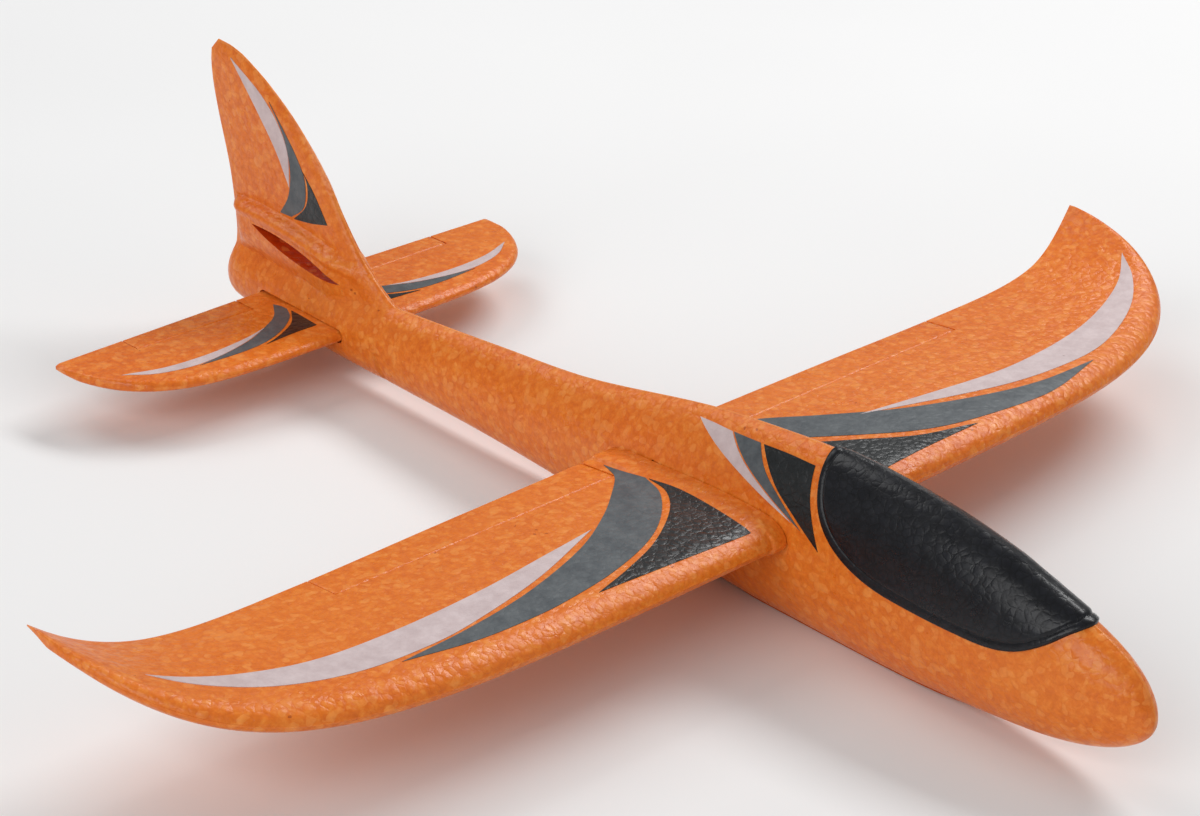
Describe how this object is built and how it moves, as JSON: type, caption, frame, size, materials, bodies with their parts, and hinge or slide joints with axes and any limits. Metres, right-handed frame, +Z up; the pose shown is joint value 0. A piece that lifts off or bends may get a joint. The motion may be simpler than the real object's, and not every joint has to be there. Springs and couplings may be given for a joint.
{
  "type": "toy glider airplane",
  "caption": "Hand-launched foam glider with plug-in wing halves, a slide-through tailplane, bendable flaps and a second tail slot in the fin for looping flight.",
  "frame": {"origin": "midway between the nose tip and the fin's rearmost point, on the centre plane, at the bottom of the belly", "axes": "+X forward to the nose, +Y to the left wing tip, +Z up"},
  "size_m": [0.4498, 0.4794, 0.111],
  "materials": {
    "orange_foam": "moulded bead foam, matte with a faint skin sheen",
    "black_canopy": "moulded foam cover painted satin black",
    "weight_steel": "plain turned steel",
    "clip_plastic": "moulded black plastic",
    "film_grey": "thin printed film",
    "film_black": "thin printed film with a slight gloss",
    "film_white": "thin printed film, off-white"
  },
  "bodies": {
    "fuselage_body": {"fuselage": "orange_foam", "canopy": "black_canopy", "nose_weight": "weight_steel"},
    "left_wing_body": {"left_wing": "orange_foam", "left_wing_plug": "clip_plastic"},
    "right_wing_body": {"right_wing": "orange_foam", "right_wing_socket": "clip_plastic"},
    "left_flap_body": {"left_flap": "orange_foam"},
    "right_flap_body": {"right_flap": "orange_foam"},
    "tailplane_body": {"tailplane": "orange_foam"},
    "left_elevator_body": {"left_elevator": "orange_foam"},
    "right_elevator_body": {"right_elevator": "orange_foam"}
  },
  "joints": [
    {"name": "left_wing_pull", "type": "slide", "parent": "fuselage_body", "child": "left_wing_body", "axis": [0, 1, 0], "range_m": [0, 0.05]},
    {"name": "right_wing_pull", "type": "slide", "parent": "fuselage_body", "child": "right_wing_body", "axis": [0, -1, 0], "range_m": [0, 0.05]},
    {"name": "tailplane_push", "type": "slide", "parent": "fuselage_body", "child": "tailplane_body", "axis": [0, 1, 0], "range_m": [0, 0.12]},
    {"name": "left_flap_bend", "type": "hinge", "parent": "left_wing_body", "child": "left_flap_body", "pos_m": [0.02375, 0.085, 0.03515], "axis": [0, 1, 0], "range_deg": [-20, 20]},
    {"name": "right_flap_bend", "type": "hinge", "parent": "right_wing_body", "child": "right_flap_body", "pos_m": [0.02375, -0.085, 0.03515], "axis": [0, 1, 0], "range_deg": [-20, 20]},
    {"name": "left_elevator_bend", "type": "hinge", "parent": "tailplane_body", "child": "left_elevator_body", "pos_m": [-0.17625, 0.043, 0.0204], "axis": [0, 1, 0], "range_deg": [-20, 20]},
    {"name": "right_elevator_bend", "type": "hinge", "parent": "tailplane_body", "child": "right_elevator_body", "pos_m": [-0.17625, -0.043, 0.0204], "axis": [0, 1, 0], "range_deg": [-20, 20]}
  ]
}
